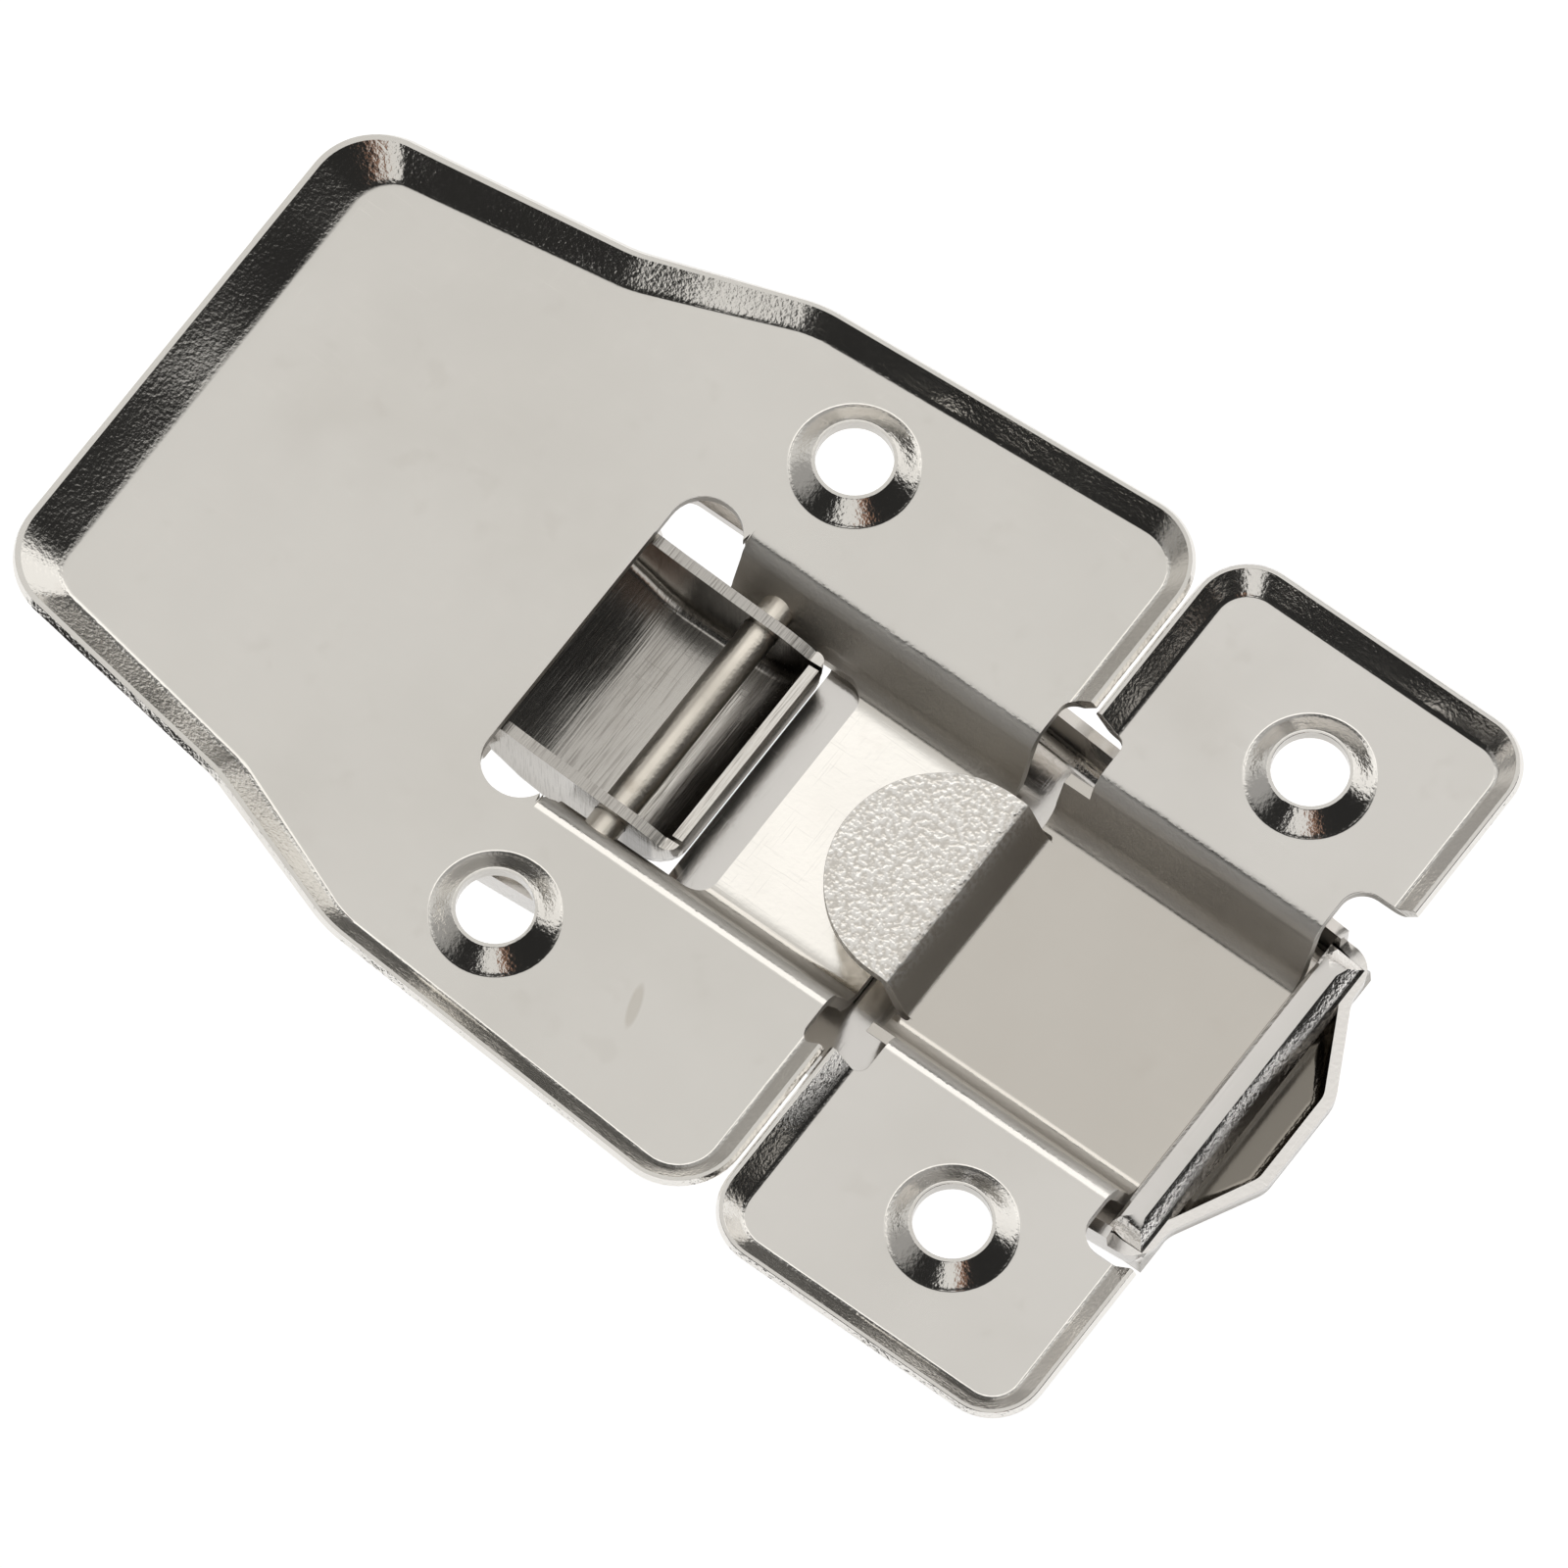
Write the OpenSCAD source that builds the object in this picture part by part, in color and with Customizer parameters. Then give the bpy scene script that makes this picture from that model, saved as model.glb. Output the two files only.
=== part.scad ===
// Over centre toggle latch, seen from its mounting side. Millimetres.
// X runs from the base plate to the strike plate, Y across, Z out of the mounting face.

/* [Sheet] */
// Thickness of every pressed sheet piece
sheet_t = 0.7; // [0.5:0.05:1.2]
// Height of the plates' turned rims over their floor
rim_h = 1.3; // [0.9:0.1:2.2]

/* [Plates] */
// Distance across between the two screw holes of each plate
screw_pitch = 34; // [30:0.5:40]
// Radius of the screw holes
screw_r = 2.25; // [1.6:0.05:2.6]
// Half width of the base plate at its widest
base_half_w = 25.2; // [24.5:0.1:29]
// Length of the base plate from the screw line to its hinge free end
base_left = 35.8; // [34.5:0.1:44]
// Half width of the strike plate
strike_half_w = 25.8; // [25:0.1:30]
// Length of the strike plate along the pull
strike_len = 21.9; // [21:0.1:26]
// Gap between the two plates when the latch is shut
plate_gap = 0.15; // [0.05:0.05:1]

/* [Channel] */
// Depth of the sunk channel below the plates' floor
channel_d = 4.6; // [4.4:0.1:5.4]
// Inner half width of the channel
channel_half = 8.35; // [8.3:0.05:8.6]

/* [Lever] */
// Diameter of the fixed lever pin
pivot_d = 2.1; // [1.6:0.05:2.4]
// Diameter of the hook pin carried by the lever
hook_pin_d = 1.9; // [1.5:0.05:2.1]
// Outer half width of the lever's narrow neck
neck_half = 7.45; // [6.8:0.05:7.6]
// Half width of the lever's handle
handle_half = 13; // [10:0.1:15]
// Radial running clearance of both pins
run_gap = 0.05; // [0.02:0.01:0.1]

/* [Draw hook] */
// Depth of the draw hook's rims
hook_rim = 3.1; // [2.4:0.1:3.4]
// Gap between the shut hook's ridge and the strike's end edge
catch_gap = 0.15; // [0.1:0.05:0.4]

/* [Hidden] */

base_right = 20;
floor_z = -rim_h;
front_z = floor_z - sheet_t;
chan_z = floor_z - channel_d;
strike_x0 = base_right + plate_gap;
strike_x1 = strike_x0 + strike_len;
strike_screw_x = strike_x0 + 11.75;
strike_edge_x = strike_x1 - 4.25;
pivot_x = 0.9;
pivot_z = chan_z + 1.25;
hook_pin_x = -9.8;
hook_pin_z = front_z - 1.7;
fold_r = 0.65;
hook_z = chan_z - sheet_t - 0.2;
ear_in = neck_half + 0.35;
arc_n = 6;

function unit(v) = v / norm(v);
function turn(n, a) = [n[0] * cos(a) - n[1] * sin(a), n[0] * sin(a) + n[1] * cos(a)];
function side(u) = [u[1], -u[0]];

// points and outward normals of an outline whose corners [x, y, r] are rounded
function rounded(c) = [
  for (i = [0 : len(c) - 1])
    let (
      n = len(c),
      p = [c[i][0], c[i][1]],
      q = c[(i + n - 1) % n],
      s = c[(i + 1) % n],
      u = unit(p - [q[0], q[1]]),
      v = unit([s[0], s[1]] - p),
      a = atan2(u[0] * v[1] - u[1] * v[0], u * v),
      sg = a < 0 ? -1 : 1,
      r = c[i][2],
      start = p - u * r * tan(abs(a) / 2),
      centre = start - side(u) * r * sg,
      m = abs(a) > 60 ? 14 : arc_n
    )
    for (k = [0 : m])
      let (nk = turn(side(u), a * k / m))
      [centre[0] + sg * r * nk[0], centre[1] + sg * r * nk[1], nk[0], nk[1]]
];

function mirrored(h) = concat(h, [for (i = [len(h) - 1 : -1 : 0]) [h[i][0], -h[i][1], h[i][2]]]);

// sheet tray of an outline that mirrors about X: the profile [inset, z] starts at the front floor and ends at the viewer floor
module tray(outline, profile, wide) {
  o = rounded(outline);
  n = len(o);
  m = len(profile);
  pts = [
    for (j = [0 : m - 1])
      for (i = [0 : n - 1])
        let (s = profile[j][0] * lookup(o[i][0], wide))
        [o[i][0] - o[i][2] * s, o[i][1] - o[i][3] * s, profile[j][1]]
  ];
  faces = concat(
    [for (i = [0 : n / 2 - 2]) [i, i + 1, n - 2 - i, n - 1 - i]],
    [
      for (j = [0 : m - 2])
        for (i = [0 : n - 1])
          let (a = j * n + i, b = j * n + (i + 1) % n)
          for (f = [0 : 1])
            f == 0 ? [a, b + n, b] : [a, a + n, b + n]
    ],
    [for (i = [0 : n / 2 - 2]) [for (k = [n - 1 - i, n - 2 - i, i + 1, i]) (m - 1) * n + k]]
  );
  polyhedron(points = pts, faces = faces, convexity = 8);
}

// turned rim in section: a fold of radius r to a lean of the given angle, sheet t thick
function rim_profile(floor, top, r, lean, t) =
  let (
    n = 8,
    a0 = t / sin(lean) + (top - floor - r * (1 - cos(lean))) / tan(lean) + r * sin(lean)
  )
  concat(
    [for (k = [0 : n]) let (q = lean * k / n) [a0 - (r + t) * sin(q), floor + r - (r + t) * cos(q)]],
    [[0, top], [t / sin(lean), top]],
    [for (k = [n : -1 : 0]) let (q = lean * k / n) [a0 - r * sin(q), floor + r - r * cos(q)]]
  );

// a plate's rim: a shallow slope that ends in a narrow flat and a square sheared edge
function plate_rim(floor, r, lean, t, flat) =
  let (
    n = 8,
    e = t * sin(lean),
    w = e - 0.33,
    a0 = w + flat + (0 - floor - r * (1 - cos(lean))) / tan(lean) + r * sin(lean)
  )
  concat(
    [for (k = [0 : n]) let (q = lean * k / n) [a0 - (r + t) * sin(q), floor + r - (r + t) * cos(q)]],
    [[0, -0.34], [w, 0], [w + flat, 0]],
    [for (k = [n : -1 : 0]) let (q = lean * k / n) [a0 - r * sin(q), floor + r - r * cos(q)]]
  );

plate_profile = plate_rim(floor_z, 0.5, 50, sheet_t, 0.22);

// cross section of the sunk channel, in (Y, Z)
module channel_half_section(open) {
  r1 = fold_r;
  r2 = fold_r + sheet_t;
  w = channel_half;
  polygon(concat(
    [[w + 2.6, floor_z]],
    [for (k = [0 : 6]) [w + r2 + r2 * cos(90 + 15 * k), floor_z - r2 + r2 * sin(90 + 15 * k)]],
    [for (k = [0 : 6]) [w - r2 + r2 * cos(-15 * k), chan_z + r2 + r2 * sin(-15 * k)]],
    [[open, chan_z], [open, chan_z - sheet_t]],
    [for (k = [6 : -1 : 0])
      [w - r2 + (r2 + sheet_t) * cos(-15 * k), chan_z + r2 + (r2 + sheet_t) * sin(-15 * k)]],
    [for (k = [6 : -1 : 0]) [w + r2 + r1 * cos(90 + 15 * k), floor_z - r2 + r1 * sin(90 + 15 * k)]],
    [[w + 2.6, front_z]]
  ));
}

module channel(x0, x1) {
  for (s = [0, 1])
    mirror([0, s, 0])
      translate([x0, 0, 0])
        rotate([90, 0, 90])
          linear_extrude(height = x1 - x0)
            channel_half_section(s == 0 ? -1 : 0);
}

module rounded_rect(x0, x1, y, r) {
  union() {
    translate([x0 + r, -y])
      square([x1 - x0 - 2 * r, 2 * y]);
    translate([x0, -y + r])
      square([x1 - x0, 2 * y - 2 * r]);
    for (x = [x0 + r, x1 - r])
      for (s = [-1, 1])
        translate([x, s * (y - r)])
          circle(r, $fn = 40);
  }
}

module cut(z0, z1) {
  translate([0, 0, z0])
    linear_extrude(height = z1 - z0)
      children();
}

// side profile in (X, Z) taken through y0 to y1
module side_plate(y0, y1) {
  translate([0, y1, 0])
    rotate([90, 0, 0])
      linear_extrude(height = y1 - y0)
        children();
}

// raised screw seat: the cone comes up to the mounting side round the hole
module screw_seat() {
  rotate_extrude($fn = 72)
    polygon([
      [4.6, floor_z],
      [3.95, floor_z],
      [3.75, floor_z + 0.04],
      [3.55, floor_z + 0.16],
      [2.5, floor_z + 1.05],
      [2.38, floor_z + 1.12],
      [screw_r, floor_z + 1.12],
      [screw_r, front_z + 0.95],
      [3.2, front_z + 0.14],
      [3.4, front_z + 0.03],
      [3.6, front_z],
      [4.6, front_z]
    ]);
}

module seats(x) {
  for (s = [-1, 1])
    translate([x, s * screw_pitch / 2, 0])
      screw_seat();
}

module seat_cuts(x) {
  for (s = [-1, 1])
    translate([x, s * screw_pitch / 2, -4])
      cylinder(r = 4.3, h = 6, $fn = 72);
}

module y_bore(x, z, r, y) {
  translate([x, y, z])
    rotate([90, 0, 0])
      cylinder(r = r, h = 2 * y, $fn = 48);
}

base_outline = mirrored([
  [base_right, -base_half_w - 0.3, 4.2],
  [-7, -23.7, 9],
  [-17.5, -20.1, 9],
  [-base_left, -16.6, 4.6]
]);

strike_outline = mirrored([
  [strike_x1, -strike_half_w, 3.4],
  [strike_x0, -strike_half_w, 3.6]
]);

function ccw(o) = [for (i = [len(o) - 1 : -1 : 0]) o[i]];

module base_plate() {
  color([0.75, 0.74, 0.72])
    difference() {
      union() {
        difference() {
          tray(ccw(base_outline), plate_profile,
            [[-base_left, 1.6], [-base_left + 5, 1.32], [-16, 1.3], [-9, 1], [base_right, 1]]);
          cut(-4, 1) translate([-2.2, -channel_half - 2.2]) square([30, 2 * channel_half + 4.4]);
          seat_cuts(0);
        }
        channel(-2.2, base_right - 1.8);
        seats(0);
      }
      cut(-4, 1) rounded_rect(-6.7, -2.2, 10.9, 2.2);
      cut(-9, 1) rounded_rect(-6.7, -2.1, 7.9, 0.5);
      cut(-9, chan_z + 1) rounded_rect(-4, 7.75, 7.9, 1.4);
      cut(-9, 1) rounded_rect(base_right - 1.9, base_right + 4, 12.9, 0.9);
      cut(-4, 1) rounded_rect(-base_left - 2, -base_left + 0.35, 7.6, 0.1);
      y_bore(pivot_x, pivot_z, pivot_d / 2, 12);
    }
}

module tongue() {
  tip = 12;
  intersection() {
    side_plate(-8, 8)
      polygon([
        [tip - 1, floor_z - 1.5],
        [base_right - 0.6, floor_z - 1.5],
        [base_right - 0.2, floor_z - 1.65],
        [base_right + 0.05, floor_z - 2],
        [base_right + 0.95, chan_z + 0.5],
        [base_right + 1.2, chan_z + 0.12],
        [base_right + 1.6, chan_z],
        [base_right + 2.4, chan_z],
        [base_right + 2.4, chan_z - sheet_t],
        [base_right + 1.1, chan_z - sheet_t],
        [base_right + 0.6, chan_z - sheet_t + 0.25],
        [base_right + 0.3, chan_z],
        [base_right - 0.65, floor_z - 2.1],
        [base_right - 0.9, floor_z - 2.2],
        [tip - 1, floor_z - 2.2]
      ]);
    cut(-9, 1)
      union() {
        translate([tip + 6.7, 0]) circle(6.7, $fn = 96);
        translate([tip + 6.7, -6.7]) square([6.7, 13.4]);
      }
  }
}

module strike_plate() {
  color([0.78, 0.77, 0.75])
    difference() {
      union() {
        difference() {
          tray(ccw(strike_outline), plate_profile, [[0, 1], [60, 1]]);
          cut(-4, 1)
            translate([strike_x0 - 2, -channel_half - 2.2])
              square([40, 2 * channel_half + 4.4]);
          seat_cuts(strike_screw_x);
        }
        difference() {
          channel(strike_x0 + 0.4, strike_edge_x);
          cut(-9, chan_z + 0.6) rounded_rect(strike_x0 - 4, strike_x0 + 1.25, 6.95, 0.2);
        }
        tongue();
        seats(strike_screw_x);
      }
      cut(-9, 1)
        union() {
          translate([strike_edge_x, -11.9]) square([10, 23.8]);
          translate([strike_edge_x + 1.5, -13.4]) square([10, 26.8]);
          for (s = [-1, 1])
            translate([strike_edge_x + 1.5, s * 11.9]) circle(1.5, $fn = 40);
        }
      for (s = [-1, 1])
        translate([0, s * 10.1, 0])
          cut(floor_z - 1.7, 1)
            rounded_rect(strike_x0 - 6, strike_x0 + 2.2, 2.5, 0.7);
    }
}

// stations of the lever: [floor x, floor z, half width, rim top x, rim top z]
function ease(a, b, t) = a + (b - a) * t * t * (3 - 2 * t);
ear_top = front_z - 0.4;
hump_r = 3.8;
hump_z = pivot_z - hump_r;
handle_z = front_z - 2.6;
lever_path = concat(
  [
    [-34.7, handle_z - 2.7, handle_half - 3.6, -34.7, handle_z - 2.66],
    [-34.2, handle_z - 1.9, handle_half - 2.4, -34.2, handle_z - 1.86],
    [-33.5, handle_z - 1.1, handle_half - 1.4, -33.5, handle_z - 1.0],
    [-32.6, handle_z - 0.45, handle_half - 0.7, -32.6, handle_z - 0.1],
    [-31.4, handle_z - 0.1, handle_half - 0.2, -31.4, handle_z + 0.8],
    [-30.2, handle_z, handle_half, -30.2, handle_z + 1.6],
    [-28.6, handle_z, handle_half, -28.6, ear_top]
  ],
  [for (k = [0 : 12]) [-21 + k / 2, handle_z, ease(handle_half, neck_half, k / 12), -21 + k / 2, ear_top]],
  [
    [-13, handle_z, neck_half, -13, ear_top],
    [-11.6, handle_z - 0.2, neck_half, -11.8, ear_top],
    [-10.2, handle_z - 0.9, neck_half, -10.6, ear_top],
    [-8.6, handle_z - 1.8, neck_half, -9.4, ear_top],
    [-7, hump_z + 1.25, neck_half, -7.9, ear_top],
    [-5.6, hump_z + 0.4, neck_half, -6.4, ear_top],
    [-4, hump_z, neck_half, -4.6, ear_top - 0.25],
    [-1.5, hump_z, neck_half, -2, ear_top - 0.5],
    [pivot_x, hump_z, neck_half, pivot_x, ear_top - 0.75]
  ],
  [
    for (k = [1 : 9])
      let (a = -90 + 105 * k / 9)
      [
        pivot_x + hump_r * cos(a),
        pivot_z + hump_r * sin(a),
        neck_half,
        pivot_x + 3.4 * k / 9,
        ear_top - 0.75 - 0.6 * pow(k / 9, 2)
      ]
  ]
);

function tangent(p, i) =
  let (a = p[max(0, i - 1)], b = p[min(len(p) - 1, i + 1)])
  unit([b[0] - a[0], b[1] - a[1]]);

function slope(p, i) =
  let (a = p[max(0, i - 1)], b = p[min(len(p) - 1, i + 1)])
  (b[2] - a[2]) / norm([b[0] - a[0], b[1] - a[1]]);

// half ring of a U section, from the outer rim top to the front middle
function half_ring(p, i, off, r0, top_in, s) =
  let (
    u = tangent(p, i),
    n = [-u[1], u[0]],
    f = [p[i][0], p[i][1]] - n * off,
    t = [p[i][3], p[i][4]],
    h = norm(t - f),
    r = min(r0, h * 0.7),
    w = p[i][2] - top_in
  )
  concat(
    [[t[0], s * w, t[1]]],
    [for (k = [0 : 5])
      let (d = r * (1 - sin(18 * k)), e = r * (1 - cos(18 * k)), q = f + n * d)
      [q[0], s * (w - e), q[1]]]
  );

function reversed(l) = [for (i = [len(l) - 1 : -1 : 0]) l[i]];

module u_sweep(p, t) {
  rings = [
    for (i = [0 : len(p) - 1])
      let (ty = t * sqrt(1 + pow(slope(p, i), 2)))
      concat(
        half_ring(p, i, t, 1.4, 0, 1),
        reversed(half_ring(p, i, t, 1.4, 0, -1)),
        half_ring(p, i, 0, 0.7, ty, -1),
        reversed(half_ring(p, i, 0, 0.7, ty, 1))
      )
  ];
  m = len(rings[0]);
  pts = [for (r = rings) for (q = r) q];
  last = (len(rings) - 1) * m;
  faces = concat(
    cap(0, m, false),
    [
      for (i = [0 : len(rings) - 2])
        for (k = [0 : m - 1])
          let (a = i * m + k, b = i * m + (k + 1) % m)
          for (f = [0 : 1])
            f == 0 ? [a, b, b + m] : [a, b + m, a + m]
    ],
    cap(last, m, true)
  );
  polyhedron(points = pts, faces = faces, convexity = 8);
}

// strips of triangles over the end of a U section ring
function cap(o, m, flip) = [
  for (k = [0 : m / 2 - 2])
    let (a = o + k, b = o + k + 1, c = o + m - 2 - k, d = o + m - 1 - k)
    for (f = [0 : 1])
      let (tri = f == 0 ? [a, d, c] : [a, c, b])
      flip ? [tri[2], tri[1], tri[0]] : tri
];

module lever() {
  color([0.72, 0.71, 0.7])
    difference() {
      u_sweep(lever_path, sheet_t);
      y_bore(pivot_x, pivot_z, pivot_d / 2 + run_gap, 12);
      y_bore(hook_pin_x, hook_pin_z, hook_pin_d / 2, 12);
      for (s = [-1, 1])
        translate([0, s * (neck_half - sheet_t - 0.14), 0])
          side_plate(-0.13, 0.13)
            polygon([
              [pivot_x + 2.2, 0],
              [pivot_x + 2.2, pivot_z - 1.2],
              [pivot_x + 3.2, pivot_z - 1.9],
              [pivot_x + 6, pivot_z - 1.9],
              [pivot_x + 6, 0]
            ]);
    }
}

hook_x0 = -12.3;
tab_x = strike_edge_x + 1;
hook_outline = mirrored([
  [tab_x + 5.1, -3.3, 2.2],
  [tab_x + 2.25, -8.7, 2],
  [tab_x + 2.1, -11.4, 1.8],
  [hook_x0 - 5, -15.6, 2.2]
]);

hook_profile = rim_profile(hook_z, hook_z + hook_rim, 0.9, 86, sheet_t);

module ridge() {
  x = strike_edge_x + catch_gap;
  intersection() {
    side_plate(-13, 13)
      polygon([
        [x, hook_z - 0.35],
        [x + 0.08, hook_z + 1.5],
        [x + 0.3, hook_z + 2.05],
        [x + 0.65, hook_z + 2.42],
        [x + 1.1, hook_z + 2.6],
        [x + 1.6, hook_z + 2.6],
        [x + 2.05, hook_z + 2.42],
        [x + 2.4, hook_z + 2.05],
        [x + 2.62, hook_z + 1.5],
        [x + 2.7, hook_z - 0.35]
      ]);
    translate([x - 1, 0, 0])
      rotate([90, 0, 90])
        linear_extrude(height = 6)
          polygon([
            [-11, hook_z - 1],
            [-11, hook_z + 0.9],
            [-10.6, hook_z + 1.8],
            [-9.9, hook_z + 2.4],
            [-9.1, hook_z + 2.6],
            [9.1, hook_z + 2.6],
            [9.9, hook_z + 2.4],
            [10.6, hook_z + 1.8],
            [11, hook_z + 0.9],
            [11, hook_z - 1]
          ]);
  }
}

module draw_hook() {
  x = strike_edge_x + catch_gap;
  color([0.8, 0.79, 0.78])
    difference() {
      union() {
        difference() {
          tray(ccw(hook_outline), hook_profile, [[-60, 1], [60, 1]]);
          cut(-12, 1) translate([hook_x0 - 20, -30]) square([20, 60]);
          cut(hook_z + 1.75, 1) rounded_rect(tab_x - 0.15, tab_x + 9, 20, 0.1);
          cut(-12, 1) rounded_rect(hook_x0 - 10, 0, ear_in, 0.3);
          cut(-12, 1) rounded_rect(-8.3, 1, 11.9, 1.2);
          cut(-12, 1) rounded_rect(-6.5, 5.6, 9.6, 2);
        }
        ridge();
        for (s = [-1, 1])
          mirror([0, s < 0 ? 1 : 0, 0])
            side_plate(ear_in, ear_in + sheet_t)
              polygon([
                [hook_x0, hook_z - sheet_t],
                [hook_x0, hook_pin_z - 1],
                [hook_x0 + 0.4, hook_pin_z + 0.2],
                [hook_x0 + 1.3, hook_pin_z + 1.25],
                [hook_x0 + 3.7, hook_pin_z + 1.25],
                [hook_x0 + 4.6, hook_pin_z + 0.2],
                [hook_x0 + 5.1, hook_pin_z - 1.6],
                [-8.2, hook_z - sheet_t]
              ]);
      }
      side_plate(-9.3, 9.3)
        polygon([
          [x + 0.75, hook_z - sheet_t - 1],
          [x + 1, hook_z + 1.7],
          [x + 1.5, hook_z + 1.7],
          [x + 1.85, hook_z - sheet_t - 1]
        ]);
      y_bore(hook_pin_x, hook_pin_z, hook_pin_d / 2 + run_gap, 12);
    }
}

module headed_pin(x, z, r, y, head_r, head_h) {
  translate([x, 0, z])
    rotate([90, 0, 0])
      rotate_extrude($fn = 48)
        polygon([
          [0, -y - head_h],
          [head_r - 0.2, -y - head_h],
          [head_r, -y - head_h + 0.2],
          [head_r, -y],
          [r, -y],
          [r, y],
          [head_r, y],
          [head_r, y + head_h - 0.2],
          [head_r - 0.2, y + head_h],
          [0, y + head_h]
        ]);
}

module lever_pin() {
  color([0.62, 0.57, 0.5])
    headed_pin(pivot_x, pivot_z, pivot_d / 2, channel_half + sheet_t, pivot_d / 2 + 0.5, 0.5);
}

module hook_pin() {
  color([0.66, 0.63, 0.58])
    headed_pin(hook_pin_x, hook_pin_z, hook_pin_d / 2, ear_in + sheet_t + 0.15, hook_pin_d / 2 + 0.35, 0.45);
}

base_plate();
strike_plate();
lever();
draw_hook();
lever_pin();
hook_pin();
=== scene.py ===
"""Looks of the over centre toggle latch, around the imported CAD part. Metres, in the part's frame."""

import math

import bmesh
import bpy
from mathutils import Matrix, Vector


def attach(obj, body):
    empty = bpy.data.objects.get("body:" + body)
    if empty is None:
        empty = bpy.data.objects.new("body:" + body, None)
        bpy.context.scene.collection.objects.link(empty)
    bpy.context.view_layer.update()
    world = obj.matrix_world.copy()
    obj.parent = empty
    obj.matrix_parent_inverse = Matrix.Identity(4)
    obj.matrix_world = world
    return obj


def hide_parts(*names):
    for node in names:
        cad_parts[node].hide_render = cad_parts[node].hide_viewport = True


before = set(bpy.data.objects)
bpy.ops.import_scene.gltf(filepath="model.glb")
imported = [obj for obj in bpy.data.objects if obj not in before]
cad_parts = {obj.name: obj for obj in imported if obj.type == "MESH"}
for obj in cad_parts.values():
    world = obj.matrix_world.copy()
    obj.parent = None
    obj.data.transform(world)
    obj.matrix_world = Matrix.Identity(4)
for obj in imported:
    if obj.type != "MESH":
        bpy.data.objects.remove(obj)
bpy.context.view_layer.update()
MM = 0.001

# the photograph's view: image right, image up on the plates, and the way to the camera
RIGHT = Vector((0.804, 0.595, 0))
NORTH = Vector((-0.595, 0.804, 0))
TO_CAMERA = Vector((0.2258, -0.305, 0.925)).normalized()
TARGET = Vector((8.28, -1.0, -1.3)) * MM
DISTANCE = 1.6
LENS = 652
SENSOR = 36

# places on the CAD part, in millimetres
PLATE_Z = -1.3  # floor of both plates
CHANNEL_Z = -5.9  # floor of the sunk channel
HOOK_Z = -6.8  # draw hook's face towards the plates
EAR_IN = 7.8  # inner half width between the lever's ears
RIDGE_X = 37.95  # start of the hook's ridge, just past the strike's end edge


# Node trees
class Nodes:
    """Small helper that builds a node tree."""

    def __init__(self, tree):
        self.tree = tree

    def add(self, kind, **values):
        node = self.tree.nodes.new(kind)
        for key, value in values.items():
            setattr(node, key, value)
        return node

    def put(self, socket, value):
        if isinstance(value, bpy.types.NodeSocket):
            self.tree.links.new(value, socket)
        else:
            socket.default_value = value

    def math(self, op, a, b=0.0, clamp=False):
        node = self.add("ShaderNodeMath", operation=op, use_clamp=clamp)
        self.put(node.inputs[0], a)
        self.put(node.inputs[1], b)
        return node.outputs[0]

    def product(self, first, *others):
        for other in others:
            first = self.math("MULTIPLY", first, other)
        return first

    def total(self, first, *others):
        for other in others:
            first = self.math("ADD", first, other)
        return first

    def size(self, value):
        return self.math("ABSOLUTE", value)

    def split(self, vector):
        node = self.add("ShaderNodeSeparateXYZ")
        self.put(node.inputs[0], vector)
        return node.outputs["X"], node.outputs["Y"], node.outputs["Z"]

    def dot(self, vector, direction):
        node = self.add("ShaderNodeVectorMath", operation="DOT_PRODUCT")
        self.put(node.inputs[0], vector)
        node.inputs[1].default_value = tuple(direction)
        return node.outputs["Value"]

    def step(self, value, low, high, out_low=0.0, out_high=1.0):
        """A smooth step from out_low at low to out_high at high."""
        node = self.add("ShaderNodeMapRange", interpolation_type="SMOOTHSTEP")
        self.put(node.inputs["Value"], value)
        node.inputs["From Min"].default_value = low
        node.inputs["From Max"].default_value = high
        node.inputs["To Min"].default_value = out_low
        node.inputs["To Max"].default_value = out_high
        return node.outputs["Result"]

    def mix(self, factor, a, color):
        node = self.add("ShaderNodeMix", data_type="RGBA")
        self.put(node.inputs["Factor"], factor)
        self.put(node.inputs["A"], a)
        self.put(node.inputs["B"], (*color, 1))
        return node.outputs["Result"]

    def noise(self, coords, scale, detail=3.0, stretch=None, turn=0.0, output="Fac"):
        if stretch:
            mapping = self.add("ShaderNodeMapping")
            self.put(mapping.inputs["Vector"], coords)
            mapping.inputs["Scale"].default_value = stretch
            mapping.inputs["Rotation"].default_value = (0, 0, turn)
            coords = mapping.outputs[0]
        node = self.add("ShaderNodeTexNoise")
        self.put(node.inputs["Vector"], coords)
        node.inputs["Scale"].default_value = scale
        node.inputs["Detail"].default_value = detail
        return node.outputs[output]

    def push(self, normal, way, amount):
        """The unit normal after a push along way by the given amount."""
        scaled = self.add("ShaderNodeVectorMath", operation="SCALE")
        self.put(scaled.inputs[0], way)
        self.put(scaled.inputs["Scale"], amount)
        summed = self.add("ShaderNodeVectorMath", operation="ADD")
        self.put(summed.inputs[0], normal)
        self.put(summed.inputs[1], scaled.outputs[0])
        unit = self.add("ShaderNodeVectorMath", operation="NORMALIZE")
        self.put(unit.inputs[0], summed.outputs[0])
        return unit.outputs[0]

    def lean(self, normal, amount):
        """The normal leans towards the base plate's free end."""
        return self.push(normal, (-1, 0, 0), amount)

    def waver(self, normal, coords, amount):
        """Slow waves in a pressed fold: the normal sways a little over some millimetres."""
        centred = self.add("ShaderNodeVectorMath", operation="SUBTRACT")
        self.put(centred.inputs[0], self.noise(coords, 130.0, 1.0, output="Color"))
        centred.inputs[1].default_value = (0.5, 0.5, 0.5)
        return self.push(normal, centred.outputs[0], amount)


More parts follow.
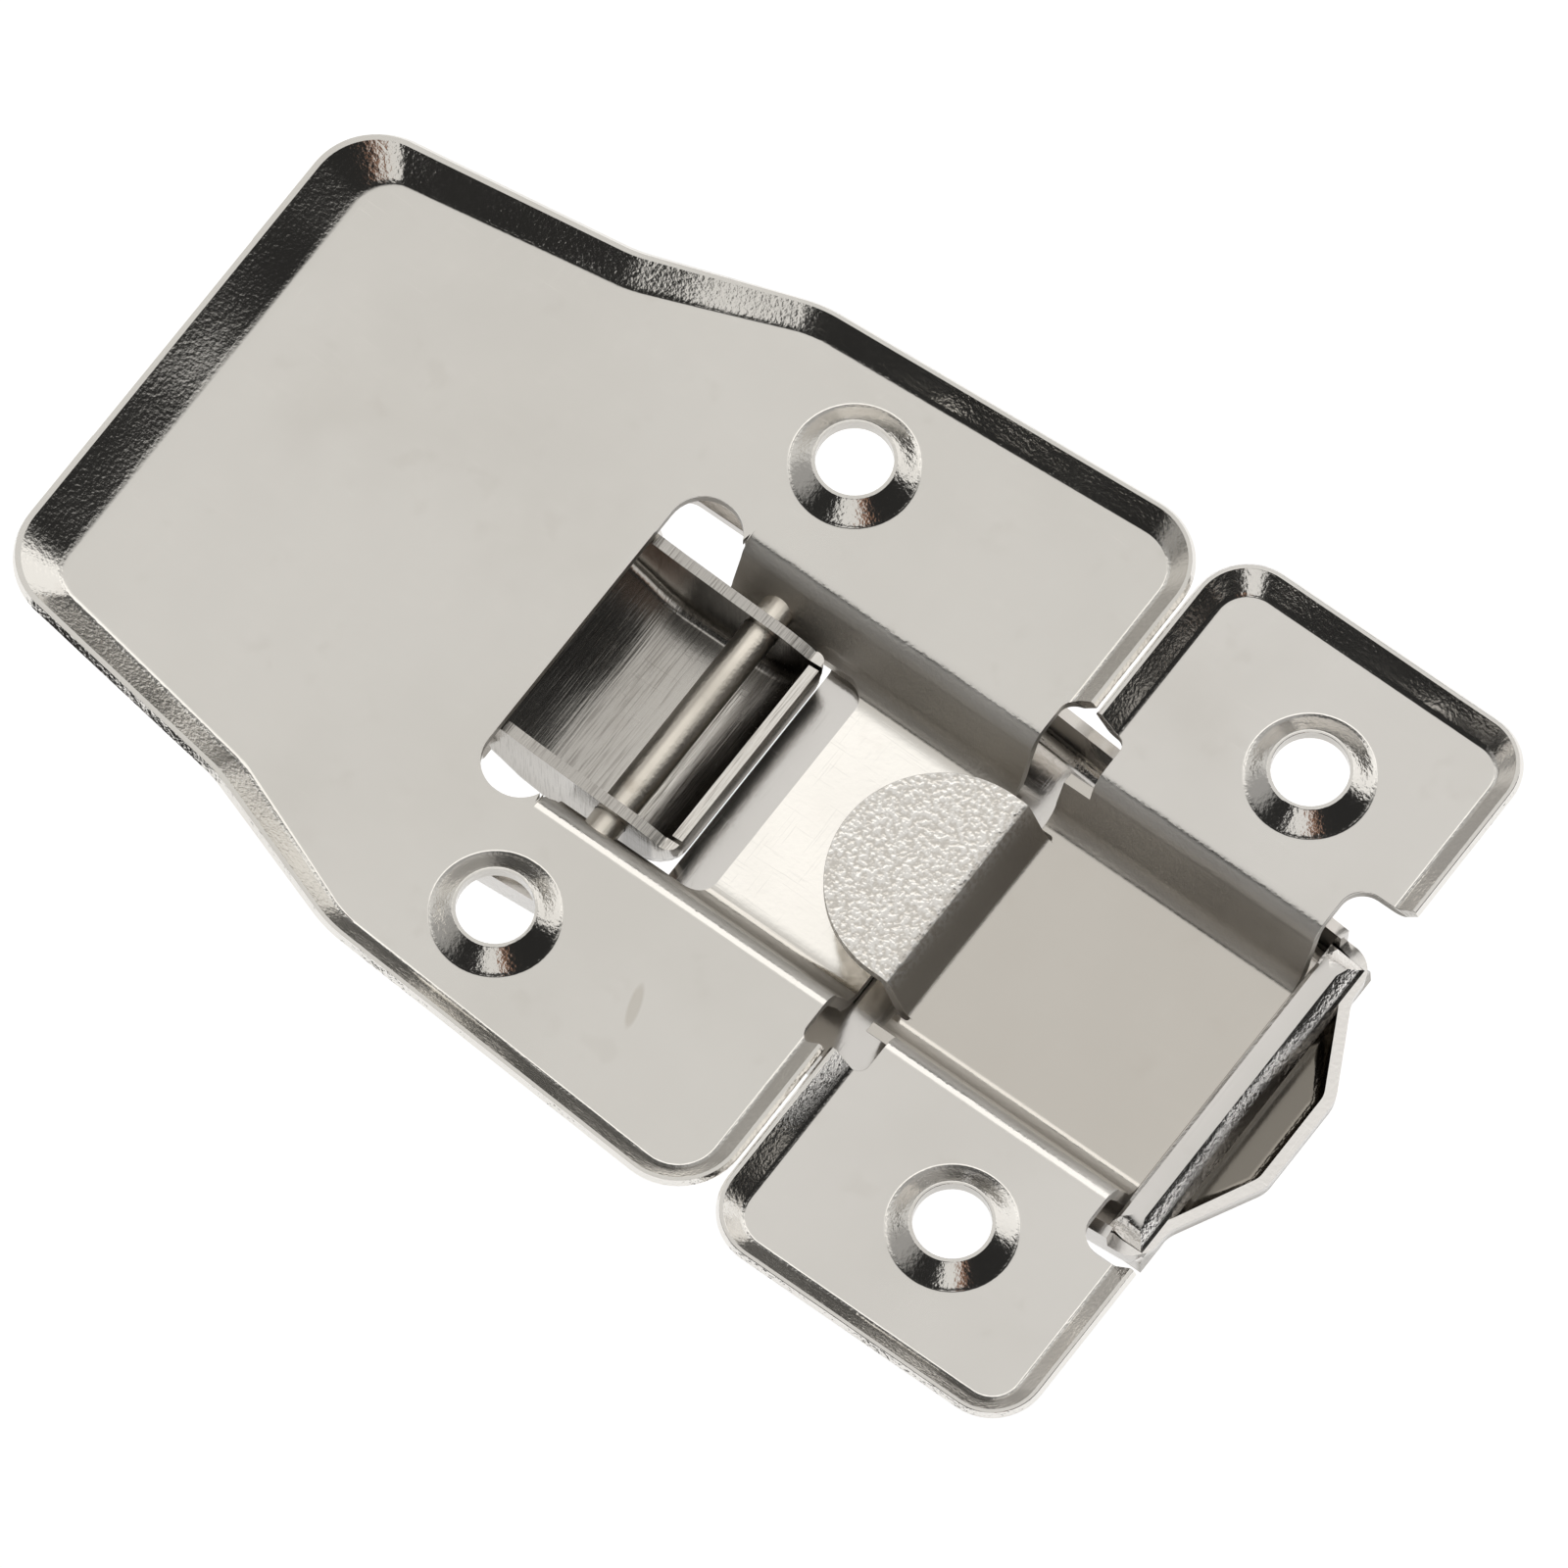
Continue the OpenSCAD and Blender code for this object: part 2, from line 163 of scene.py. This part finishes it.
# Materials
STAIN = (0.30, 0.22, 0.14)
BLOTCH = (0.60, 0.56, 0.50)
VEIL = (0.60, 0.57, 0.52)
SMEAR = (0.42, 0.36, 0.28)
CUT_EDGE_SHADE = (0.30, 0.28, 0.25)
# colour of the painted shade in sunk channels
RECESS_SHADE = (0.52, 0.47, 0.40)
STREAK = (0.16, 0.14, 0.12)
PAINTED_GLINT = (0.97, 0.96, 0.94)

# heights of the marks in the surface, as shares of the bump's depth
BUMP_DEPTH = 0.03 * MM
SCRATCH_H = 0.07
SKIN_H = 0.3
PEEL_H, PEEL_H_BRUSHED = 2.6, 0.5
BRUSH_H = 2.2
TONGUE_H = 6.5
FOLD_WAVER = 0.3
PIN_LEAN = 0.3


def worn_color(n, coords, color, brown):
    """The plating's colour with small stains, blotches and a thin veil."""
    stain = n.step(n.noise(coords, 420.0, 6.0), 0.6, 0.75)
    blotch = n.step(n.noise(coords, 90.0, 3.0), 0.55, 0.8)
    veil = n.step(n.noise(coords, 45.0, 5.0), 0.42, 0.66)
    tint = n.mix(n.product(stain, brown), (*color, 1), STAIN)
    tint = n.mix(n.product(blotch, 0.10), tint, BLOTCH)
    return n.mix(n.product(veil, 0.16), tint, VEIL)


def scratch_marks(n, coords):
    """Fine scratches in two directions."""
    one = n.noise(coords, 1.0, 2.0, (300, 9000, 3000), 0.6)
    other = n.noise(coords, 1.0, 2.0, (9000, 260, 3000), 0.25)
    return n.total(n.step(one, 0.62, 0.72), n.step(other, 0.62, 0.72))


def metal(name, color, rough, plate=False, brown=0.05, brush=None, grain=0.0, textured=None, bowed=None,
          smudged=None, painted_shade=None, painted_shade_by=0.42, painted_shade_color=RECESS_SHADE):
    """Plated steel. The functions handed in say where a piece is textured, bowed, smudged or darkened with
    painted shade.
    """
    mat = bpy.data.materials.new(name)
    mat.use_nodes = True
    n = Nodes(mat.node_tree)
    shader = mat.node_tree.nodes["Principled BSDF"]
    shader.inputs["Metallic"].default_value = 1.0
    source = n.add("ShaderNodeTexCoord")
    coords = source.outputs["Object"]
    x, y, z = n.split(coords)
    level = n.size(n.split(source.outputs["Normal"])[2])
    folded = n.step(level, 0.99, 0.93)
    cut_edge_shade = n.step(level, 0.4, 0.1)
    scratches = scratch_marks(n, coords)

    roughness = n.step(n.noise(coords, 160.0, 4.0), 0.3, 0.7, rough * 0.85, rough * 1.2)
    roughness = n.math("ADD", roughness, n.product(scratches, 0.05), True)
    if plate:
        # the channel's drawn walls are satin, and only the rims' sheared edges are darkened, partly as raw
        # cut steel and partly as painted shade
        walls = n.step(z, (PLATE_Z - 0.02) * MM, (PLATE_Z - 0.2) * MM)
        roughness = n.total(roughness, n.product(folded, walls, 0.42))
        cut_edge_shade = n.product(cut_edge_shade, n.step(z, -3.0 * MM, -2.2 * MM))

    tint = worn_color(n, coords, color, brown)
    if smudged:
        tint = n.mix(smudged(n, coords), tint, SMEAR)
    # steep cut faces are darkened in colour: partly the raw cut steel, partly painted shade
    tint = n.mix(n.product(cut_edge_shade, 0.55), tint, CUT_EDGE_SHADE)
    # painted shade: where the function handed in says, the colour darkens towards the shade colour
    if painted_shade:
        tint = n.mix(n.product(painted_shade(n, coords), painted_shade_by), tint, painted_shade_color)

    peel = n.product(n.noise(coords, 4200.0, 2.0), PEEL_H_BRUSHED if brush else PEEL_H)
    height = n.total(
        n.product(scratches, SCRATCH_H),
        n.product(n.noise(coords, 3500.0, 2.0), SKIN_H),
        n.product(n.noise(coords, 900.0, 3.0), grain),
        n.product(folded, peel),
    )
    if brush:
        # the brushing stops at the ears, and covers the whole handle
        between_ears = n.step(n.size(y), EAR_IN * MM, (EAR_IN - 0.1) * MM)
        brushed = n.math("MAXIMUM", between_ears, n.step(x, -6 * MM, -8 * MM))
        streak = n.product(brushed, n.noise(coords, 1.0, 3.0, brush))
        height = n.total(height, n.product(streak, BRUSH_H))
        tint = n.mix(n.step(streak, 0.5, 0.68, 0.0, 0.4), tint, STREAK)
    if textured:
        mask, bumps = textured(n, coords)
        height = n.total(height, n.product(mask, bumps, TONGUE_H))
        # painted glint: the raised tops of the tongue's grain are lighter in colour
        tint = n.mix(n.product(mask, n.step(bumps, 0.38, 0.62, 0.0, 0.65)), tint, PAINTED_GLINT)

    bump = n.add("ShaderNodeBump")
    bump.inputs["Strength"].default_value = 0.35
    bump.inputs["Distance"].default_value = BUMP_DEPTH
    n.put(bump.inputs["Height"], height)
    normal = n.waver(bump.outputs[0], coords, n.product(folded, FOLD_WAVER))
    if bowed:
        normal = n.lean(normal, bowed(n, coords))
    n.put(shader.inputs["Base Color"], tint)
    n.put(shader.inputs["Roughness"], roughness)
    n.put(shader.inputs["Normal"], normal)
    return mat


def tongue_grain(n, coords):
    """Hammered grain on the strike's tongue only."""
    x, y, z = n.split(coords)
    here = n.step(x, 20.6 * MM, 19.8 * MM)
    level = n.step(z, -4.5 * MM, -3.5 * MM)
    inside = n.step(n.size(y), 6.9 * MM, 6.7 * MM)
    return n.product(here, level, inside), n.noise(coords, 3300.0, 1.5)


def channel_painted_shade(n, coords):
    """Painted shade: inside the strike's sunk channel the sheet is painted darker and browner."""
    _, _, z = n.split(coords)
    return n.step(z, -1.6 * MM, -3.2 * MM)


def wall_painted_shade(n, coords):
    """Painted shade: the base plate's channel is painted darker on its walls, and its floor stays bright."""
    _, y, z = n.split(coords)
    return n.product(n.step(z, -1.6 * MM, -3.2 * MM), n.step(n.size(y), 6.6 * MM, 7.4 * MM))


def pocket_painted_shade(n, coords):
    """Painted shade: the pocket of the finger tab is painted dark inside."""
    x, _, z = n.split(coords)
    return n.product(n.step(x, 40.2 * MM, 40.8 * MM), n.step(z, -5.2 * MM, -6.0 * MM))


def nose_painted_shade(n, coords):
    """Painted shade: between the lever pin and the curled nose the trough is painted dark."""
    x, _, z = n.split(coords)
    past_pin = n.step(x, 1.2 * MM, 2.0 * MM)
    before_nose = n.step(x, 4.0 * MM, 3.6 * MM)
    return n.product(past_pin, before_nose, n.step(z, -3.6 * MM, -4.2 * MM))


def channel_bow(n, coords):
    """The floor of the base plate's channel is pressed a little out of true."""
    x, y, z = n.split(coords)
    past_slot = n.step(x, 5.8 * MM, 6.2 * MM)
    level = n.step(z, (CHANNEL_Z + 0.5) * MM, (CHANNEL_Z + 0.1) * MM)
    inside = n.step(n.size(y), 7.4 * MM, 6.2 * MM)
    return n.product(past_slot, level, inside, 0.15)


def pin_turn(n, coords):
    """The worn pin catches the light a little nearer to its middle."""
    return PIN_LEAN


def smudge(n, coords):
    """A thin brown smear on the base plate's floor, to the right of its lower screw seat."""
    centre = Vector((9.6, -16.8, 0)) * MM
    half_width, half_length, slant = 0.42 * MM, 1.5 * MM, 0.3
    along = n.math("SUBTRACT", n.dot(coords, NORTH), centre.dot(NORTH))
    across = n.math("SUBTRACT", n.dot(coords, RIGHT), centre.dot(RIGHT))
    across = n.math("SUBTRACT", across, n.product(along, slant))
    reach = n.total(
        n.math("POWER", n.product(across, 1 / half_width), 2.0),
        n.math("POWER", n.product(along, 1 / half_length), 2.0),
    )
    return n.step(reach, 1.1, 0.4, 0.0, 0.28)


NICKEL = metal(
    "nickel_sheet", (0.80, 0.78, 0.745), 0.13, plate=True, bowed=channel_bow, smudged=smudge, painted_shade=wall_painted_shade
)
NICKEL_STRIKE = metal(
    "nickel_strike", (0.82, 0.80, 0.77), 0.13, plate=True, textured=tongue_grain, painted_shade=channel_painted_shade
)
# the lever's nickel is darker than the plates' as painted shade, since it lies in the channel, and its nose
# trough gets a near black painted shade
NICKEL_LEVER = metal(
    "nickel_lever", (0.58, 0.56, 0.53), 0.2, brush=(9000, 260, 400),
    painted_shade=nose_painted_shade, painted_shade_by=0.85, painted_shade_color=(0.12, 0.11, 0.10)
)
# the finger tab's pocket gets a dark painted shade
NICKEL_HOOK = metal(
    "nickel_hook", (0.82, 0.80, 0.78), 0.16, painted_shade=pocket_painted_shade, painted_shade_by=0.9, painted_shade_color=(0.19, 0.17, 0.14)
)
PIN = metal("pin_steel", (0.80, 0.75, 0.67), 0.4, brown=0.35, grain=0.6, bowed=pin_turn)


# Pieces
SOFT_EDGE = 0.05 * MM
SHARP = math.radians(32)  # a fold steeper than this stays an edge

# changes of shape, in millimetres: y counts from the middle, and end x from the origin towards the free end
WALL_LEAN = 0.85  # how far the channel's walls lean out at the top
WALL_Y = (6.9, 9.8)  # between which the channel's walls lie
WALL_START_X = -2.3
END_WIDER = 0.6  # how much wider the base plate's free end is to each side
END_X = (17, 33)  # over which it grows wider
END_SIDE_Y = 10  # only what lies further out moves
END_RIM_WIDER = 0.9  # how much wider the rim of that end is
END_RIM_X = (27, 33)
RIDGE_LENGTH = 2.75
RIDGE_HALF = 10.9
RIDGE_FOOT = 1.45  # height over the hook's face from which the ridge is reshaped
WINDOW_SHORTER = 0.55  # how much nearer the hook's window ends to the lever's nose
WINDOW_HALF = 9.7
WINDOW_END_X = (3.4, 5.6)

# the ridge's section in the CAD part and as the photograph shows it, [x, z] from its foot
RIDGE = (
    ((0.08, 1.5), (0.12, 2.1)),
    ((0.3, 2.05), (0.24, 2.45)),
    ((0.65, 2.42), (0.45, 2.6)),
    ((1.1, 2.6), (1.15, 2.62)),
    ((1.6, 2.6), (1.6, 2.56)),
    ((2.05, 2.42), (1.82, 2.36)),
    ((2.4, 2.05), (2.22, 1.9)),
    ((2.62, 1.5), (2.68, 1.3)),
)


def ramp(value, low, high):
    """0 at low, 1 at high, smooth between."""
    t = min(max((value - low) / (high - low), 0.0), 1.0)
    return t * t * (3 - 2 * t)


def shape_plate(co):
    """The channel's walls lean outwards, and the base plate's free end is wider, as is its rim."""
    x, y, z = co
    if WALL_Y[0] < abs(y) < WALL_Y[1] and z < PLATE_Z + 0.01 and x > WALL_START_X:
        y += math.copysign(WALL_LEAN * ramp(z, CHANNEL_Z + 1, PLATE_Z - 1), y)
    if abs(y) > END_SIDE_Y:
        y += math.copysign(END_WIDER * ramp(-x, *END_X), y)
    x += END_RIM_WIDER * min(max(z / PLATE_Z, 0), 1) * ramp(-x, *END_RIM_X)
    return x, y, z


def shape_hook(co):
    """The ridge gets its flat top and sloped flank, and the window ends close behind the lever's nose."""
    x, y, z = co
    on_ridge = RIDGE_X - 0.01 < x < RIDGE_X + RIDGE_LENGTH and abs(y) < RIDGE_HALF
    if on_ridge and z > HOOK_Z + RIDGE_FOOT:
        shift_x = shift_z = weights = 0.0
        for (old_x, old_z), (new_x, new_z) in RIDGE:
            weight = 1 / ((x - RIDGE_X - old_x) ** 2 + (z - HOOK_Z - old_z) ** 2 + 1e-5) ** 2
            shift_x += weight * (new_x - old_x)
            shift_z += weight * (new_z - old_z)
            weights += weight
        x += shift_x / weights
        z += shift_z / weights
    elif abs(y) < WINDOW_HALF and WINDOW_END_X[0] < x < WINDOW_END_X[1] + 0.1 and z < HOOK_Z + 0.1:
        x -= WINDOW_SHORTER * ramp(x, *WINDOW_END_X)
    return x, y, z


def clean_mesh(source, name, shape):
    """A copy of a CAD mesh without doubled points and flat seams, brought into its final shape."""
    mesh = source.copy()
    mesh.name = name
    bm = bmesh.new()
    bm.from_mesh(mesh)
    bmesh.ops.remove_doubles(bm, verts=bm.verts, dist=0.0002 * MM)
    bmesh.ops.dissolve_limit(
        bm, angle_limit=math.radians(0.4), verts=bm.verts, edges=bm.edges, delimit=set()
    )
    if shape:
        for vert in bm.verts:
            vert.co = Vector(shape(vert.co / MM)) * MM
    for face in bm.faces:
        face.smooth = True
    for edge in bm.edges:
        edge.smooth = len(edge.link_faces) == 2 and edge.calc_face_angle(0) < SHARP
    bm.to_mesh(mesh)
    bm.free()
    if "custom_normal" in mesh.attributes:
        mesh.attributes.remove(mesh.attributes["custom_normal"])
    return mesh


def dress(node, name, body, mat, soft=True, shape=None):
    """A smooth shaded, edge softened copy of a CAD node that stands for it."""
    mesh = clean_mesh(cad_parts[node].data, name, shape)
    mesh.materials.clear()
    mesh.materials.append(mat)
    obj = bpy.data.objects.new(name, mesh)
    bpy.context.scene.collection.objects.link(obj)
    if soft:
        bevel = obj.modifiers.new("soft_edges", "BEVEL")
        bevel.width = SOFT_EDGE
        bevel.segments = 2
        bevel.limit_method = "ANGLE"
        bevel.angle_limit = SHARP
    weigh = obj.modifiers.new("flat_faces_lead", "WEIGHTED_NORMAL")
    weigh.mode = "FACE_AREA"
    weigh.weight = 100
    weigh.keep_sharp = True
    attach(obj, body)
    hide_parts(node)


dress("base_plate", "base_plate_sheet", "root", NICKEL, shape=shape_plate)
dress("strike_plate", "strike_plate_sheet", "root", NICKEL_STRIKE, shape=shape_plate)
dress("lever", "lever_sheet", "lever", NICKEL_LEVER)
dress("draw_hook", "draw_hook_sheet", "hook", NICKEL_HOOK, shape=shape_hook)
dress("lever_pin", "lever_pin_bar", "root", PIN, soft=False)
dress("hook_pin", "hook_pin_bar", "lever", PIN, soft=False)


# Floor
FLOOR_Z = -45 * MM  # below the open lever, whose handle reaches down to -39.3 mm
FLOOR_HALF = 6.0
FLOOR_COLOR = (0.85, 0.85, 0.84, 1)
# what the eye and the metal see of the floor: a plain white with a share that takes the shadow
FLOOR_GLOW = 0.84
FLOOR_SHADE = 0.5


def floor_material():
    """White to the eye and in the metal, a plain pale floor to the light, and clear from underneath."""
    mat = bpy.data.materials.new("floor_white")
    mat.use_nodes = True
    n = Nodes(mat.node_tree)
    plain = mat.node_tree.nodes["Principled BSDF"]
    plain.inputs["Base Color"].default_value = FLOOR_COLOR
    plain.inputs["Roughness"].default_value = 0.9
    glow = n.add("ShaderNodeEmission")
    glow.inputs["Color"].default_value = (1, 1, 1, 1)
    glow.inputs["Strength"].default_value = FLOOR_GLOW
    shade = n.add("ShaderNodeBsdfDiffuse")
    shade.inputs["Color"].default_value = (FLOOR_SHADE, FLOOR_SHADE, FLOOR_SHADE, 1)
    white = n.add("ShaderNodeAddShader")
    n.put(white.inputs[0], glow.outputs[0])
    n.put(white.inputs[1], shade.outputs[0])
    path = n.add("ShaderNodeLightPath").outputs
    seen = n.math("MAXIMUM", path["Is Camera Ray"], path["Is Glossy Ray"])
    seen = n.math("MAXIMUM", seen, path["Is Transmission Ray"])
    above = n.add("ShaderNodeMixShader")
    n.put(above.inputs[0], seen)
    n.put(above.inputs[1], plain.outputs[0])
    n.put(above.inputs[2], white.outputs[0])
    both = n.add("ShaderNodeMixShader")
    n.put(both.inputs[0], n.add("ShaderNodeNewGeometry").outputs["Backfacing"])
    n.put(both.inputs[1], above.outputs[0])
    n.put(both.inputs[2], n.add("ShaderNodeBsdfTransparent").outputs[0])
    n.put(mat.node_tree.nodes["Material Output"].inputs["Surface"], both.outputs[0])
    return mat


def make_floor():
    mesh = bpy.data.meshes.new("floor")
    signs = ((-1, -1), (1, -1), (1, 1), (-1, 1))
    corners = [(FLOOR_HALF * i, FLOOR_HALF * j, FLOOR_Z) for i, j in signs]
    mesh.from_pydata(corners, [], [(0, 1, 2, 3)])
    mesh.materials.append(floor_material())
    floor = bpy.data.objects.new("floor", mesh)
    bpy.context.scene.collection.objects.link(floor)


# Light and camera
TENT_LIGHT = 0.735
TENT_DARK = 0.025
LAMP_LIGHT = 0.95
FILL_LIGHT = 0.35
TOP_LIGHT = 0.55
STRIP_LIGHT = 0.8
WARM_LIGHT = 0.3
LIGHT_COLOR = (1.0, 0.985, 0.955, 1)
WARM_COLOR = (0.75, 0.36, 0.2)


def tent_light(n, north, up, right):
    """Bright above and towards the picture's top, dark towards the camera's side and the right."""
    lift = n.total(north, n.product(up, 0.35))
    lift = n.math("SUBTRACT", lift, n.product(n.size(right), 0.25))
    light = n.step(lift, 0.05, 0.45, 0.0, TENT_LIGHT)
    # the box ends above the horizon: nearly dark below it towards the right, half as bright to the left
    low = n.step(up, 0.62, 0.5)
    loss = n.step(right, -0.15, 0.1, 0.5, 0.9)
    light = n.product(light, n.math("SUBTRACT", 1.0, n.product(low, loss)))
    top = n.product(n.step(north, 0.44, 0.54, 0.0, TOP_LIGHT), n.step(up, 0.5, 0.62))
    return n.total(light, TENT_DARK, top)


def lobe(n, way, right, north, up, low, high, strength):
    """A round patch of light about a direction given as picture right, picture up and height."""
    middle = (RIGHT * right + NORTH * north + Vector((0, 0, up))).normalized()
    return n.step(n.dot(way, middle), low, high, 0.0, strength)


def make_world():
    """A light tent, two patches of light and a strip on the camera's side with a warm edge."""
    world = bpy.data.worlds.new("tent")
    bpy.context.scene.world = world
    world.use_nodes = True
    n = Nodes(world.node_tree)
    way = n.add("ShaderNodeTexCoord").outputs["Generated"]
    north, up, right = n.dot(way, NORTH), n.dot(way, (0, 0, 1)), n.dot(way, RIGHT)
    lamp = lobe(n, way, 0.85, 0.5, 0.2, 0.87, 0.93, LAMP_LIGHT)
    fill = lobe(n, way, -0.93, 0.25, 0.25, 0.7, 0.97, FILL_LIGHT)

    south = n.step(north, -0.35, -0.55)
    bearing = n.math("DIVIDE", right, n.math("MAXIMUM", n.product(north, -1.0), 0.05))
    from_strip = n.size(n.total(bearing, 0.15))
    from_warm = n.size(n.math("SUBTRACT", bearing, 0.26))
    strip = n.product(south, n.step(from_strip, 0.4, 0.2, 0.0, STRIP_LIGHT))
    warm = n.product(south, n.step(from_warm, 0.16, 0.04), n.step(up, 0.38, 0.46))

    strength = n.total(tent_light(n, north, up, right), lamp, fill, strip, n.product(warm, WARM_LIGHT))
    background = world.node_tree.nodes["Background"]
    n.put(background.inputs["Color"], n.mix(warm, LIGHT_COLOR, WARM_COLOR))
    n.put(background.inputs["Strength"], strength)


def make_camera():
    data = bpy.data.cameras.new("camera")
    camera = bpy.data.objects.new("camera", data)
    bpy.context.scene.collection.objects.link(camera)
    data.lens = LENS
    data.sensor_width = SENSOR
    data.clip_start, data.clip_end = 0.01, 10
    x = RIGHT.normalized()
    y = TO_CAMERA.cross(x)
    axes = Matrix((x, y, TO_CAMERA)).transposed().to_4x4()
    camera.matrix_world = Matrix.Translation(TARGET + TO_CAMERA * DISTANCE) @ axes
    bpy.context.scene.camera = camera


make_floor()
make_world()
make_camera()
bpy.context.scene.view_settings.view_transform = "Standard"
